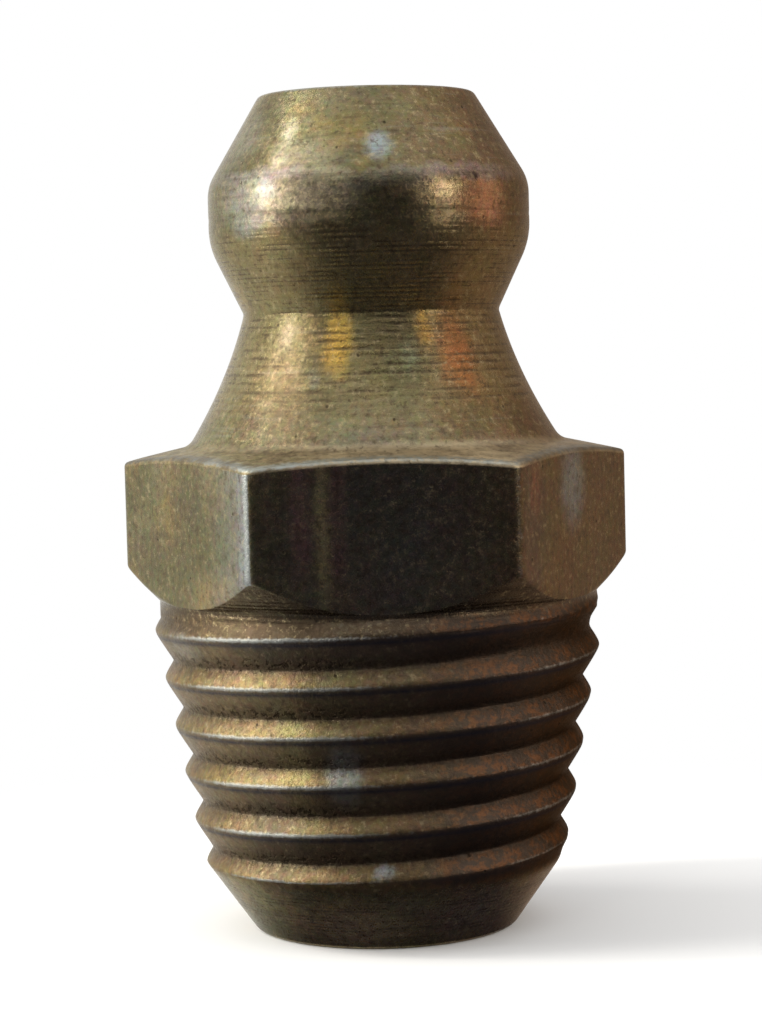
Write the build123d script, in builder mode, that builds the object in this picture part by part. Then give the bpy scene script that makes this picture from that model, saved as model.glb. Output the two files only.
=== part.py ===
from build123d import *
from math import atan, cos, degrees, radians, sin, sqrt, tan
import os

# Grease nipple with a conical coupler head, in millimetres.
# The origin is the centre of the flat thread end, +Z runs up the axis to the head,
# and two flats of the hexagon face -Y and +Y. Angles are in degrees.

os.makedirs("parts", exist_ok=True)

# ---- driving dimensions ----

# lengths along the axis, from the thread end upwards
thread_length = 6.79       # thread end to the underside of the hexagon
hex_height = 3.09          # underside of the hexagon to the foot of the neck
neck_height = 2.64         # foot of the neck to its waist
band_height = 0.86         # round band of the head, up to the corner of its cone

# coupler head
head_radius = 3.25         # round band that a coupler's jaws grip
head_top_radius = 2.17     # flat top
head_cone_angle = 31.0     # upper cone, from the axis
head_shoulder = 1.05       # rounds the upper cone into the band
head_under_radius = 1.50   # ball-shaped underside, just below the band
head_under_angle = 25.5    # its straight run into the waist, from the axis

# neck
waist_radius = 2.59
foot_radius = 3.78
foot_fillet = 0.25
neck_curve = 8.5           # hollow curve from the waist to the foot

# hexagon
across_flats = 8.92
hex_corner = 0.30          # drawn bar has rounded corners
hex_top_slope = 12.6       # turned top, from level
hex_under_slope = 46.0     # turned chamfer below, from level
collar_radius = 4.475      # plain turned collar between hexagon and thread
collar_length = 0.34

# taper thread, right-handed and rolled, so its ridge stands a little above the collar
pitch = 0.968
crest_taper = 10.2         # cone of the crests, from the axis
crest_stand = 0.145        # its height above the collar, at the collar's edge
flank_angle = 57.0         # both flanks, from a plane square to the axis
crest_flat = 0.06
root_flat = 0.04
start_lift = 0.04          # the ridge starts this far above the thread end, where the nose cuts it away
start_angle = -68.4        # from +X
runout_drop = 0.05         # full ridge ends this far below the collar's edge
runout_turns = 0.35        # then it sinks into the collar
runout_sink = 0.06
flank_sink = 0.015         # flanks run on this far under the core, less than half of root_flat
ridge_root = 0.12          # how deep the ridge is rooted in the core

# nose
nose_inset = 0.52          # flat thread end, inside the core's own radius there
nose_angle = 35.2          # from the axis
edge_break = 0.08          # broken edges at both ends

# check valve
ball_radius = 1.25
ball_setback = 0.25        # top of the ball below the flat top
seat_angle = 30.0          # conical seat, from the axis
seat_clearance = 0.02      # ball to seat
inlet_radius = 1.00
inlet_bevel = 0.15
bore_clearance = 0.15      # round the ball
lip_thickness = 0.55       # rolled-in lip that the spring stands on
lip_overhang = 0.45        # how far it closes the bore
wire_radius = 0.15
wire_sides = 6             # the round wire is drawn six-sided
spring_radius = 1.10       # to the middle of the wire
spring_turns = 6           # open turns between the two closed ends
coil_gap = 0.03            # between the turns of a closed end
spring_clearance = 0.02    # to the ball and to the lip


def slope(angle):
    return tan(radians(angle))


def slant_pitch(cone):
    return pitch / cos(radians(cone))  # a conical helix measures its pitch along the cone


# ---- heights and radii that follow ----

foot_z = thread_length + hex_height
waist_z = foot_z + neck_height

# underside of the head: an arc below the band, then a straight run to the waist
under_turn = radians(head_under_angle)
under_r = head_radius - head_under_radius * (1 - cos(under_turn))
under_z = waist_z + (under_r - waist_radius) / tan(under_turn)
band_z = under_z + head_under_radius * sin(under_turn)
cone_z = band_z + band_height
top_z = cone_z + (head_radius - head_top_radius) / slope(head_cone_angle)

# the turned cones above and below the hexagon reach past its corners
corner_radius = across_flats / sqrt(3)
hex_top_rim = foot_z - (corner_radius - foot_radius) * slope(hex_top_slope)
hex_under_rim = thread_length + (corner_radius - collar_radius) * slope(hex_under_slope)

# the neck's foot runs out along the hexagon's top cone as far as its fillet needs
foot_rim_radius = foot_radius + foot_fillet
foot_rim_z = foot_z - foot_fillet * slope(hex_top_slope)

# thread ridge: a narrow crest and two flanks that fall to the root cone
taper = slope(crest_taper)
flank = 1 / slope(flank_angle)
half_crest = crest_flat / 2
flank_run = pitch - crest_flat - root_flat
ridge_height = (flank_run * (flank**2 - taper**2) / 2 - half_crest * taper**2) / flank
upper_run = (ridge_height - half_crest * taper) / (flank + taper) + flank_sink
lower_run = (ridge_height + half_crest * taper) / (flank - taper) + flank_sink
crest_start = start_lift + lower_run + half_crest

# the core is the root cone, and the collar ends in a flank of its own
collar_z = thread_length - collar_length
crest_end_radius = collar_radius + crest_stand - taper * collar_z
root_end_radius = crest_end_radius - ridge_height
collar_step = collar_radius - root_end_radius - taper * collar_z
collar_foot_z = collar_z - collar_step / (flank - taper)
collar_foot_radius = root_end_radius + taper * collar_foot_z

# the nose cone is cut through the lowest turns, out past their crests
nose_radius = root_end_radius - nose_inset
nose_reach = collar_radius
nose_top = (nose_reach - nose_radius) / slope(nose_angle)

# the ball hangs just under its conical seat
ball_z = top_z - ball_setback - ball_radius
bore_radius = ball_radius + bore_clearance
seat_turn = radians(seat_angle)
seat_reach = ball_radius + seat_clearance
seat_foot_z = ball_z + (seat_reach - bore_radius * cos(seat_turn)) / sin(seat_turn)
seat_top_z = ball_z + (seat_reach - inlet_radius * cos(seat_turn)) / sin(seat_turn)
lip_radius = bore_radius - lip_overhang

# the spring stands on the lip and its last turn cups the ball
spring_z = lip_thickness + spring_clearance + wire_radius
ball_reach = ball_radius + wire_radius + spring_clearance
spring_top_z = ball_z - sqrt(ball_reach**2 - spring_radius**2)

# the thread ridge climbs the crest cone, then sinks into the collar
runout_z = collar_z - runout_drop
full_rise = runout_z - crest_start
runout_rise = runout_turns * pitch
crest_radius = crest_end_radius + taper * crest_start
runout_radius = crest_end_radius + taper * runout_z
runout_angle = degrees(atan((runout_radius - collar_radius + runout_sink) / runout_rise))
root_radius = crest_radius - flank * lower_run - ridge_root
full_ridge = Helix(slant_pitch(crest_taper), full_rise, crest_radius, cone_angle=crest_taper)
runout = Helix(slant_pitch(runout_angle), runout_rise, runout_radius, cone_angle=-runout_angle)
full_ridge = Pos(0, 0, crest_start) * full_ridge
runout = Pos(0, 0, runout_z) * Rot(0, 0, 360 * full_rise / pitch) * runout
ridge_path = Wire([full_ridge.edge(), runout.edge()])

# ---- body: one piece, turned from hexagon bar ----

# hexagon bar, with its top and underside turned to cones
with BuildPart() as hexagon:
    with BuildSketch(Plane.XY.offset(thread_length)):
        RegularPolygon(radius=across_flats / 2, side_count=6, major_radius=False)
        fillet(vertices(), radius=hex_corner)
    extrude(amount=hex_height)
    with BuildSketch(Plane.XZ):
        with BuildLine():
            Polyline(
                (0, thread_length),
                (collar_radius, thread_length),
                (corner_radius, hex_under_rim),
                (corner_radius, hex_top_rim),
                (foot_radius, foot_z),
                (0, foot_z),
                close=True,
            )
        make_face()
    revolve(axis=Axis.Z, mode=Mode.INTERSECT)

# thread ridge, started at +X
with BuildPart() as thread_ridge:
    with BuildSketch(Plane.XZ):
        with BuildLine():
            Polyline(
                (crest_radius, crest_start + half_crest),
                (crest_radius - flank * upper_run, crest_start + half_crest + upper_run),
                (root_radius, crest_start + half_crest + upper_run),
                (root_radius, crest_start - half_crest - lower_run),
                (crest_radius - flank * lower_run, crest_start - half_crest - lower_run),
                (crest_radius, crest_start - half_crest),
                close=True,
            )
        make_face()
    sweep(path=ridge_path, is_frenet=True)

with BuildPart() as nipple_body:
    # tapered core of the thread
    with BuildSketch(Plane.XZ):
        with BuildLine():
            Polyline(
                (0, 0),
                (root_end_radius, 0),
                (root_end_radius + taper * thread_length, thread_length),
                (0, thread_length),
                close=True,
            )
        make_face()
    revolve(axis=Axis.Z)

    # thread ridge
    add(thread_ridge.part, rotation=(0, 0, start_angle))

    # plain conical nose, cut through the lowest turns
    with BuildSketch(Plane.XZ):
        with BuildLine():
            Polyline((nose_radius, 0), (nose_reach, 0), (nose_reach, nose_top), close=True)
        make_face()
    revolve(axis=Axis.Z, mode=Mode.SUBTRACT)
    chamfer(edges().group_by(Axis.Z)[0], length=edge_break)

    # collar, which ends in a flank of its own
    with BuildSketch(Plane.XZ):
        with BuildLine():
            Polyline(
                (0, collar_foot_z),
                (collar_foot_radius, collar_foot_z),
                (collar_radius, collar_z),
                (collar_radius, thread_length),
                (0, thread_length),
                close=True,
            )
        make_face()
    revolve(axis=Axis.Z)

    # hexagon
    add(hexagon.part)

    # neck and coupler head
    with BuildSketch(Plane.XZ):
        with BuildLine():
            RadiusArc((foot_radius, foot_z), (waist_radius, waist_z), neck_curve)
            under_run = Line((waist_radius, waist_z), (under_r, under_z))
            TangentArc(under_run @ 1, (head_radius, band_z), tangent=under_run % 1)
            Polyline(
                (head_radius, band_z),
                (head_radius, cone_z),
                (head_top_radius, top_z),
                (0, top_z),
                (0, foot_rim_z),
                (foot_rim_radius, foot_rim_z),
                (foot_radius, foot_z),
            )
        make_face()
        shoulder = vertices().filter_by_position(Axis.Y, cone_z, cone_z)
        fillet(shoulder, radius=head_shoulder)
        foot = vertices().filter_by_position(Axis.Y, foot_z, foot_z)
        fillet(foot, radius=foot_fillet)
        rim = vertices().group_by(Axis.Y)[-1].sort_by(Axis.X)[-1]
        chamfer(rim, length=edge_break)
    revolve(axis=Axis.Z)

    # bore, ball seat and inlet, open at both ends
    with BuildSketch(Plane.XZ):
        with BuildLine():
            Polyline(
                (0, 0),
                (lip_radius, 0),
                (lip_radius, lip_thickness),
                (bore_radius, lip_thickness),
                (bore_radius, seat_foot_z),
                (inlet_radius, seat_top_z),
                (inlet_radius, top_z - inlet_bevel),
                (inlet_radius + inlet_bevel, top_z),
                (0, top_z),
                close=True,
            )
        make_face()
    revolve(axis=Axis.Z, mode=Mode.SUBTRACT)

# ---- steel ball ----

with BuildPart() as check_ball:
    with Locations((0, 0, ball_z)):
        Sphere(ball_radius)

# ---- spring: a closed turn at each end, open turns between ----

closed_pitch = 2 * wire_radius + coil_gap
open_pitch = (spring_top_z - spring_z - 2 * closed_pitch) / spring_turns
first_turn = Pos(0, 0, spring_z) * Helix(closed_pitch, closed_pitch, spring_radius)
open_turns = Helix(open_pitch, spring_turns * open_pitch, spring_radius)
open_turns = Pos(0, 0, spring_z + closed_pitch) * open_turns
last_turn = Pos(0, 0, spring_top_z - closed_pitch) * Helix(closed_pitch, closed_pitch, spring_radius)
coil_path = Wire([first_turn.edge(), open_turns.edge(), last_turn.edge()])

with BuildPart() as check_spring:
    with BuildSketch(Plane(origin=coil_path @ 0, z_dir=coil_path % 0)):
        RegularPolygon(wire_radius, wire_sides)
    sweep(path=coil_path, transition=Transition.ROUND, is_frenet=True)

nipple_body.part.label = "nipple_body"
check_ball.part.label = "check_ball"
check_spring.part.label = "check_spring"
export_step(nipple_body.part, "parts/nipple_body.step")
export_step(check_ball.part, "parts/check_ball.step")
export_step(check_spring.part, "parts/check_spring.step")
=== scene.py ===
import bmesh
import bpy
import numpy as np
from math import atan, cos, pi, radians, sin, tan
from mathutils import Matrix, Vector


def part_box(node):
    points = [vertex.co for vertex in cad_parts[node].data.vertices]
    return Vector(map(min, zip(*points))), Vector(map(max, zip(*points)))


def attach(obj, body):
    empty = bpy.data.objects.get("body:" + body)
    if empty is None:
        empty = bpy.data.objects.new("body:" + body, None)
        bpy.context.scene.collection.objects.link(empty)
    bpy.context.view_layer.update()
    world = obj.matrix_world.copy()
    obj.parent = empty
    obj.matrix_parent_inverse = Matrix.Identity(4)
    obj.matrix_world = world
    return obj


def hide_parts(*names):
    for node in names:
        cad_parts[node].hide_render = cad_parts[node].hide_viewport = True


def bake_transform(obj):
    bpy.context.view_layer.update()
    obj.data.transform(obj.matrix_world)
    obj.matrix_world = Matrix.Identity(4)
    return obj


# Grease nipple. Shapes are worked out in millimetres, and skinned into metres.
# The thread end stands on the floor, +Z runs up the axis, two flats of the hexagon face -Y and +Y.

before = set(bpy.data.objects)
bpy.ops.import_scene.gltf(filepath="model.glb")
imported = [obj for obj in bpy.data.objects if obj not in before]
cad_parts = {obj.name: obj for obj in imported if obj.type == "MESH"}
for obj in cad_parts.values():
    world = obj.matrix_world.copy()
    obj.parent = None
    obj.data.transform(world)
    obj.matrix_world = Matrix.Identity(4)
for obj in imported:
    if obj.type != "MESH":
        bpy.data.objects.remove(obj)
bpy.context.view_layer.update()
mm = 0.001


# small helpers for shapes

mergeReach = 0.0002     # mm, joins the seams of a skin


def softMax(a, b, width):
    # the larger of the two, and where they differ by less than width a smooth hollow joins them:
    # max + width / 4 * (1 - difference / width) squared
    nearness = np.maximum(1 - np.abs(a - b) / width, 0)
    return np.maximum(a, b) + width / 4 * nearness ** 2


def softMin(a, b, width):
    # the smaller of the two, joined in the same way
    return -softMax(-a, -b, width)


def bellCurve(distance, width):
    # 1 at distance 0, falling as exp(-(distance / width) squared)
    return np.exp(-(distance / width) ** 2)


def gridQuads(rows, columns, first):
    # corner numbers of the faces of a grid whose vertices are numbered row by row from first
    corner = first + np.arange((rows - 1) * columns).reshape(rows - 1, columns)[:, :-1].ravel()
    return np.stack([corner, corner + 1, corner + columns + 1, corner + columns], axis=1)


def skinGrids(name, grids, marks):
    # grids: list of x, y, z arrays in rows and columns; marks: per-vertex values by name, one array a grid
    points = np.concatenate([np.stack([a.ravel() for a in grid], axis=1) for grid in grids]) * mm
    firsts = np.cumsum([0] + [grid[0].size for grid in grids])
    quads = np.concatenate([gridQuads(*grid[0].shape, first) for grid, first in zip(grids, firsts)])
    mesh = bpy.data.meshes.new(name)
    mesh.from_pydata(points, [], quads)
    for markName, values in marks.items():
        layer = mesh.attributes.new(markName, "FLOAT", "POINT")
        layer.data.foreach_set("value", np.concatenate([v.ravel() for v in values]).astype(np.float32))
    work = bmesh.new()
    work.from_mesh(mesh)
    bmesh.ops.remove_doubles(work, verts=work.verts, dist=mergeReach * mm)
    bmesh.ops.dissolve_degenerate(work, edges=work.edges, dist=mergeReach * mm)
    bmesh.ops.recalc_face_normals(work, faces=work.faces)
    work.to_mesh(mesh)
    work.free()
    mesh.shade_smooth()
    piece = bpy.data.objects.new(name, mesh)
    bpy.context.scene.collection.objects.link(piece)
    mesh.calc_loop_triangles()
    print(name, len(mesh.vertices), "vertices,", len(mesh.loop_triangles), "triangles")
    return piece


# nipple body

nipple = {
    "columns": 264,          # round the axis, a multiple of six
    "cornerPull": 0.6,       # draws the columns towards the hexagon's corners, 0 to 0.9
    # thread, right-handed
    "pitch": 0.968,
    "crestTaper": 10.2,      # from the axis
    "crestRadius": 3.4595,   # crest cone, carried down to the thread end
    "ridgeHeight": 0.2587,
    "flankAngle": 57.0,      # from a plane square to the axis
    "crestHeight": 0.8315,   # a crest's height where it crosses +X
    "crestRound": 0.075,
    "crestUneven": 0.010,
    "crestWaves": [(9.7, 0), (23.3, 1), (37.1, 2)],   # waves a turn, phase
    "rootSoft": 0.06,
    "runoutHeight": 6.40,    # from here the crest sinks into the collar
    "runoutTurns": 0.35,
    "runoutSink": 0.06,
    "upperRows": 9,          # rows on the flank that faces up
    "lowerRows": 15,
    # wear on the thread, whose bare line the finish also uses as a painted highlight: how strong, and how
    # far it reaches
    "crestRub": 0.9,
    "threadRubReach": 0.05,
    "noseRub": 0.8,          # where a ridge meets the nose
    "noseRubReach": 0.035,
    "noseRubRise": 0.08,     # only where the ridge stands this far off its core
    "collarRub": 0.15,
    "lowerSoft": 0.03,       # edge of the lower flank's mark, at the root
    "crestShadeBelow": 0.10,        # how far under a crest the painted shade line lies
    "crestShadeReach": 0.05,
    # nose
    "noseRadius": 2.681,
    "noseAngle": 35.2,
    "noseSoft": 0.05,
    "noseSplit": 0.80,       # the thread's skin starts here
    "rollInStart": 1.15,     # the first groove deepens between these heights
    "rollInEnd": 1.90,
    "rollInFill": 0.20,
    # collar and hexagon
    "collarRadius": 4.46,    # flush with the flats' middles
    "collarHeight": 6.45,
    "collarSoft": 0.035,
    "hexBottom": 6.79,
    "hexTop": 9.88,          # foot of the neck
    "hexHalf": 4.46,         # half across flats
    "hexCorner": 0.30,
    "hexTopSlope": 12.6,
    "hexUnderSlope": 46.0,
    "leastRise": 0.02,       # keeps the chamfer's rows apart at the flats' middles
    # neck and head
    "footRadius": 3.78,
    "neckHollow": 0.124,
    "waistRadius": 2.59,
    "waistHeight": 12.52,
    "headRadius": 3.25,
    "underAngle": 25.5,
    "bandTop": 15.101,
    "headTopRadius": 2.17,
    "rubReach": 0.22,        # how far an edge is rubbed, on its upper side
    "rubBelow": 0.3,         # and the share of that below it
    "rubTop": 0.36,          # reach on the slope above the flats
    "rubCorner": 0.11,       # and beside the hexagon's upright edges, where the bare line is partly a painted highlight
    # each corner: length of its bend, rows in the bend, rows in the run after it, how rubbed it is
    "bends": {
        "collarEdge": (0, 0, 4, 0),
        "flatFoot": (0.07, 5, 9, 0.25),
        "flatTop": (0.10, 7, 7, 1.0),
        "neckFoot": (0.16, 6, 18, 0),
        "waist": (0.05, 4, 6, 0.15),
        "bandFoot": (0.36, 10, 12, 0),
        "bandTop": (0.26, 9, 12, 0.3),
        "headTop": (0.09, 6, 7, 0.7),
        "bevelTop": (0.03, 3, 3, 0.6),
        "bevelFoot": (0.04, 3, 8, 0.2),
        "seatTop": (0.03, 3, 5, 0),
        "seatFoot": (0.03, 3, 12, 0),
        "lipCorner": (0.03, 3, 4, 0),
        "lipEdge": (0.03, 3, 3, 0),
        "outlet": (0.06, 4, 8, 0.3),
        "noseEdge": (0.08, 5, 7, 0),
        "threadFoot": (0, 0, 0, 0),
    },
    "bendShare": 0.45,       # a bend takes this share of a short run at the most
    "jawHeight": 14.42,      # faint groove that a coupler's jaws have left
    "jawDepth": 0.007,
    "jawWidth": 0.045,
    # bore
    "inletRadius": 1.00,
    "inletBevel": 0.15,
    "seatFoot": 13.80,
    "seatTop": 14.60,
    "boreRadius": 1.40,
    "lipRadius": 0.95,
    "lipHeight": 0.55,
    # heights and radii on the outside, only for placing marks
    "noseEnd": (1.4, 3.6),
    "neckMiddle": (11.2, 3.06),
    "underEnd": 14.0,
    "edgeDrop": 0.2,
    "slopeDrop": 0.3,
}

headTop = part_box("nipple_body")[1].z / mm


def roundColumns():
    # even angles less a sine wave that repeats at every corner of the hexagon
    even = np.linspace(0, 2 * pi, nipple["columns"] + 1)
    return even - nipple["cornerPull"] * np.sin(6 * even) / 6


def hexRadius(angle):
    # half across flats over the cosine from the flat's middle, and near a corner the far side of a circle
    half = nipple["hexHalf"]
    corner = nipple["hexCorner"]
    fromFlat = np.abs(np.mod(angle, pi / 3) - pi / 6)
    fromCorner = pi / 6 - fromFlat
    centre = (half - corner) / cos(pi / 6)
    lastFlat = atan((half - corner) * tan(pi / 6) / half)
    inside = np.maximum(corner ** 2 - (centre * np.sin(fromCorner)) ** 2, 0)
    arc = centre * np.cos(fromCorner) + np.sqrt(inside)
    return np.where(fromFlat < lastFlat, half / np.cos(fromFlat), arc)


def threadSkin(angle):
    # Rows follow the helix: heights climb one pitch a turn and are clipped at both ends.
    # Between two crests the rows stand close at the crests and at the root, by cosines.
    pitch = nipple["pitch"]
    taper = tan(radians(nipple["crestTaper"]))
    flank = 1 / tan(radians(nipple["flankAngle"]))
    rootAt = nipple["ridgeHeight"] / (flank + taper)
    upperSteps = rootAt * (1 - np.cos(np.linspace(0, pi, nipple["upperRows"] + 1)[:-1])) / 2
    lowerSteps = (pitch - rootAt) * (1 - np.cos(np.linspace(0, pi, nipple["lowerRows"] + 1)[:-1])) / 2
    onePitch = np.concatenate([upperSteps, rootAt + lowerSteps])
    firstTurn = np.floor((nipple["noseSplit"] - nipple["crestHeight"]) / pitch) - 1
    lastTurn = np.ceil((nipple["hexBottom"] - nipple["crestHeight"]) / pitch)
    turns = np.arange(firstTurn, lastTurn + 1) * pitch
    rise = (turns[:, None] + onePitch[None, :]).ravel()
    height = nipple["crestHeight"] + rise[:, None] + pitch * angle[None, :] / (2 * pi)
    height = np.clip(height, nipple["noseSplit"], nipple["hexBottom"])
    wide = np.broadcast_to(angle, height.shape)

    # the two crest lines next to each point
    crestBelow = np.floor((height - nipple["crestHeight"]) / pitch - wide / (2 * pi))
    crestBelow = nipple["crestHeight"] + pitch * (crestBelow + wide / (2 * pi))

    def ridge(crest):
        # crest cone, less the sink of the run-out, less flank times distance, rounded at the crest:
        # sqrt(distance² + round²) - round
        climb = np.minimum(crest, nipple["runoutHeight"])
        endRadius = nipple["crestRadius"] + taper * nipple["runoutHeight"]
        sink = (endRadius - nipple["collarRadius"] + nipple["runoutSink"]) / (nipple["runoutTurns"] * pitch)
        top = nipple["crestRadius"] + taper * climb - sink * (crest - climb)
        soft = nipple["crestRound"]
        # rolled crests are a little uneven: the mean of some sine waves along the helix
        turned = 2 * pi * (crest - nipple["crestHeight"]) / pitch
        waves = sum(np.sin(rate * turned + phase) for rate, phase in nipple["crestWaves"])
        top = top + nipple["crestUneven"] * waves / len(nipple["crestWaves"])
        return top - flank * (np.sqrt((height - crest) ** 2 + soft ** 2) - soft)

    ridges = np.maximum(ridge(crestBelow), ridge(crestBelow + pitch))
    # the roller presses the first groove in gradually, over most of a turn
    rollIn = crestBelow + pitch / 2 - nipple["rollInStart"]
    rollIn = 1 - np.clip(rollIn / (nipple["rollInEnd"] - nipple["rollInStart"]), 0, 1)
    core = nipple["crestRadius"] - nipple["ridgeHeight"] + taper * height
    core = core + nipple["rollInFill"] * rollIn ** 2 * (3 - 2 * rollIn)     # eased at both ends
    collar = nipple["collarRadius"] - flank * np.maximum(nipple["collarHeight"] - height, 0)
    thread = softMax(softMax(core, ridges, nipple["rootSoft"]), collar, nipple["collarSoft"])
    nose = nipple["noseRadius"] + height * tan(radians(nipple["noseAngle"]))
    radius = softMin(thread, nose, nipple["noseSoft"])
    radius[height >= nipple["hexBottom"]] = nipple["collarRadius"]

    # marks: rubbed crests and edges, whose bare line is partly a painted highlight, and grime in the roots,
    # with painted shade added in the finish
    fromCrest = np.minimum(height - crestBelow, crestBelow + pitch - height)
    crestCone = nipple["crestRadius"] + taper * height
    exposed = np.clip((ridges - np.maximum(core, collar)) / (nipple["ridgeHeight"] / 2), 0, 1)
    standing = np.clip((nose - thread) / nipple["noseSoft"], 0, 1)
    rub = nipple["crestRub"] * bellCurve(fromCrest, nipple["threadRubReach"]) * exposed * standing
    onRidge = thread > core + nipple["noseRubRise"]
    rub = np.maximum(rub, nipple["noseRub"] * bellCurve(nose - thread, nipple["noseRubReach"]) * onRidge)
    fromCollar = height - nipple["collarHeight"]
    rub = np.maximum(rub, nipple["collarRub"] * bellCurve(fromCollar, nipple["threadRubReach"]))
    # the lower flank, and the painted shade line just under a crest
    toCrest = crestBelow + pitch - height
    lower = 1 / (1 + np.exp((toCrest - (pitch - rootAt)) / nipple["lowerSoft"]))
    lower = lower * standing * (fromCollar < 0)
    crestShade = bellCurve(toCrest - nipple["crestShadeBelow"], nipple["crestShadeReach"]) * exposed * standing
    deep = np.clip((crestCone - radius) / nipple["ridgeHeight"], 0, 1) * standing
    deep = deep * (fromCollar < 0)
    x = radius * np.cos(wide)
    y = radius * np.sin(wide)
    return (x, y, height), rub, deep, lower, crestShade


def turnedSkin(angle):
    # A profile of straight runs through corners, carried round the axis. At a corner the line leaves
    # its run one bend early and follows (1-s)² before + 2s(1-s) corner + s² after.
    # Corners may differ by column.
    n = nipple
    hexR = hexRadius(angle)
    beyond = np.maximum(hexR - n["collarRadius"], 0)
    hexUnder = n["hexBottom"] + np.maximum(beyond * tan(radians(n["hexUnderSlope"])), n["leastRise"])
    hexOver = n["hexTop"] - (hexR - n["footRadius"]) * tan(radians(n["hexTopSlope"]))
    bandFoot = n["waistHeight"] + (n["headRadius"] - n["waistRadius"]) / tan(radians(n["underAngle"]))
    noseTop = n["noseRadius"] + n["noseSplit"] * tan(radians(n["noseAngle"]))
    corners = [
        ("collarEdge", n["collarRadius"], n["hexBottom"]),
        ("flatFoot", hexR, hexUnder),
        ("flatTop", hexR, hexOver),
        ("neckFoot", n["footRadius"], n["hexTop"]),
        ("waist", n["waistRadius"], n["waistHeight"]),
        ("bandFoot", n["headRadius"], bandFoot),
        ("bandTop", n["headRadius"], n["bandTop"]),
        ("headTop", n["headTopRadius"], headTop),
        ("bevelTop", n["inletRadius"] + n["inletBevel"], headTop),
        ("bevelFoot", n["inletRadius"], headTop - n["inletBevel"]),
        ("seatTop", n["inletRadius"], n["seatTop"]),
        ("seatFoot", n["boreRadius"], n["seatFoot"]),
        ("lipCorner", n["boreRadius"], n["lipHeight"]),
        ("lipEdge", n["lipRadius"], n["lipHeight"]),
        ("outlet", n["lipRadius"], 0),
        ("noseEdge", n["noseRadius"], 0),
        ("threadFoot", noseTop, n["noseSplit"]),
    ]
    names = [name for name, r, z in corners]
    bends, bendRows, runRows, rubbed = zip(*[n["bends"][name] for name in names])
    points = np.array([[r + 0 * angle, z + 0 * angle] for name, r, z in corners]).transpose(0, 2, 1)
    runs = points[1:] - points[:-1]
    lengths = np.linalg.norm(runs, axis=2, keepdims=True)
    ways = runs / lengths
    rows = []
    faces = []
    last = points[0]
    for k in range(1, len(names)):
        if names[k] == "threadFoot":
            before = after = points[k]
        else:
            shorter = np.minimum(lengths[k - 1], lengths[k])
            reach = np.minimum(bends[k], n["bendShare"] * shorter)
            before = points[k] - ways[k - 1] * reach
            after = points[k] + ways[k] * reach
        steps = runRows[k - 1] + 2
        rows.append(last + (before - last) * np.linspace(0, 1, steps)[:, None, None])
        faces.append(np.full(steps, 1.0 if names[k] == "flatTop" else 0.0))
        if bendRows[k]:
            s = np.linspace(0, 1, bendRows[k] + 1)[1:-1, None, None]
            rows.append((1 - s) ** 2 * before + 2 * s * (1 - s) * points[k] + s ** 2 * after)
            faces.append(np.full(len(s), 1.0 if names[k] == "flatFoot" else 0.0))
        last = after
    line = np.concatenate(rows)
    flat = np.broadcast_to(np.concatenate(faces)[:, None], line.shape[:2])
    radius = line[..., 0]
    height = line[..., 1]

    # outside, the neck is hollowed by a parabola between foot and waist, and the band has its faint groove
    outside = radius > (n["boreRadius"] + n["waistRadius"]) / 2
    along = np.clip((height - n["hexTop"]) / (n["waistHeight"] - n["hexTop"]), 0, 1)
    groove = n["jawDepth"] * bellCurve(height - n["jawHeight"], n["jawWidth"])
    radius = radius - np.where(outside, 4 * n["neckHollow"] * along * (1 - along) + groove, 0)

    rub = np.zeros_like(radius)
    for name, point, strength in zip(names, points, rubbed):
        away = np.linalg.norm(line - point[None], axis=2)
        above = n["rubTop"] if name == "flatTop" else n["rubReach"]
        reach = np.where(height < point[None, :, 1], n["rubBelow"] * n["rubReach"], above)
        rub = np.maximum(rub, strength * bellCurve(away, reach))
    fromCorner = pi / 6 - np.abs(np.mod(angle, pi / 3) - pi / 6)
    rub = np.maximum(rub, flat * bellCurve(fromCorner * n["hexHalf"], n["rubCorner"])[None, :])
    x = radius * np.cos(angle)
    y = radius * np.sin(angle)
    return (x, y, height), rub, flat


angle = roundColumns()
threadGrid, threadRub, threadDeep, threadLower, threadCrestShade = threadSkin(angle)
turnedGrid, turnedRub, turnedFlat = turnedSkin(angle)
nippleBody = skinGrids("nippleBody", [threadGrid, turnedGrid], {
    "rubbed": [threadRub, turnedRub],
    "deep": [threadDeep, 0 * turnedRub],
    "lower": [threadLower, 0 * turnedRub],
    "crestShade": [threadCrestShade, 0 * turnedRub],
    "barFace": [0 * threadRub, turnedFlat],
})


# check ball and spring

valve = {
    "ballSteps": 26,         # along an edge of the cube that is blown up into the ball
    "wireRadius": 0.15,
    "springRadius": 1.10,    # to the middle of the wire
    "openTurns": 6,
    "coilGap": 0.03,         # between the turns of a closed end
    "turnSteps": 44,
    "wireSides": 16,
}


def ballSkin():
    # six square grids, drawn outwards to one radius: each point over its distance from the middle
    low, high = [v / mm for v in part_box("check_ball")]
    centre = (low + high) / 2
    radius = (high.z - low.z) / 2
    side = np.tan(np.linspace(-pi / 4, pi / 4, valve["ballSteps"]))
    u, v = np.meshgrid(side, side)
    one = np.ones_like(u)
    sheets = [(one, u, v), (-one, v, u), (v, one, u), (u, -one, v), (u, v, one), (v, u, -one)]
    grids = []
    for x, y, z in sheets:
        reach = radius / np.sqrt(x ** 2 + y ** 2 + z ** 2)
        grids.append((centre.x + x * reach, centre.y + y * reach, centre.z + z * reach))
    return grids


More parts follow.
